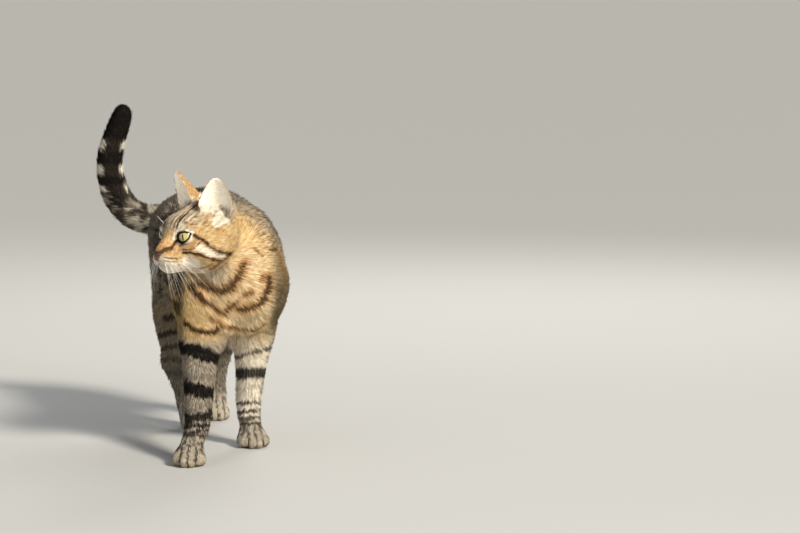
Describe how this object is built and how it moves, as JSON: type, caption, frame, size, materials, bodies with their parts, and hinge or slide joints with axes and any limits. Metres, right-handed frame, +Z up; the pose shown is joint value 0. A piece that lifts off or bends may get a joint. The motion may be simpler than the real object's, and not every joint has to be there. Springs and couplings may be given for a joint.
{
  "type": "cat",
  "caption": "Life-size still model of a short-haired tabby cat, walking, with its head turned to its right and its tail raised.",
  "frame": {"origin": "on the floor, under the middle of the model's box", "axes": "+Z up; the body faces -Y; +X is the cat's own left"},
  "size_m": [0.2006, 0.4542, 0.3879],
  "materials": {
    "body_coat": "short soft tabby fur, grey-brown with black stripes",
    "face_coat": "very short tabby fur, cream and orange-brown with fine dark lines",
    "ear_coat": "thin short fur, pale inside",
    "paw_coat": "very short cream-grey fur",
    "tail_coat": "short soft fur, black tip and rings",
    "eye": "wet, clear, yellow-green iris with a slit pupil",
    "nose_leather": "fine-grained, slightly damp"
  },
  "bodies": {
    "root": {"trunk": "body_coat", "neck": "body_coat", "head": "face_coat", "ear_right": "ear_coat", "ear_left": "ear_coat", "eye_right": "eye", "eye_left": "eye", "nose": "nose_leather", "foreleg_right": "body_coat", "foreleg_left": "body_coat", "forepaw_right": "paw_coat", "forepaw_left": "paw_coat", "hindleg_right": "body_coat", "hindleg_left": "body_coat", "hindpaw_right": "paw_coat", "hindpaw_left": "paw_coat", "tail_1": "body_coat", "tail_2": "body_coat", "tail_3": "tail_coat"}
  },
  "joints": []
}
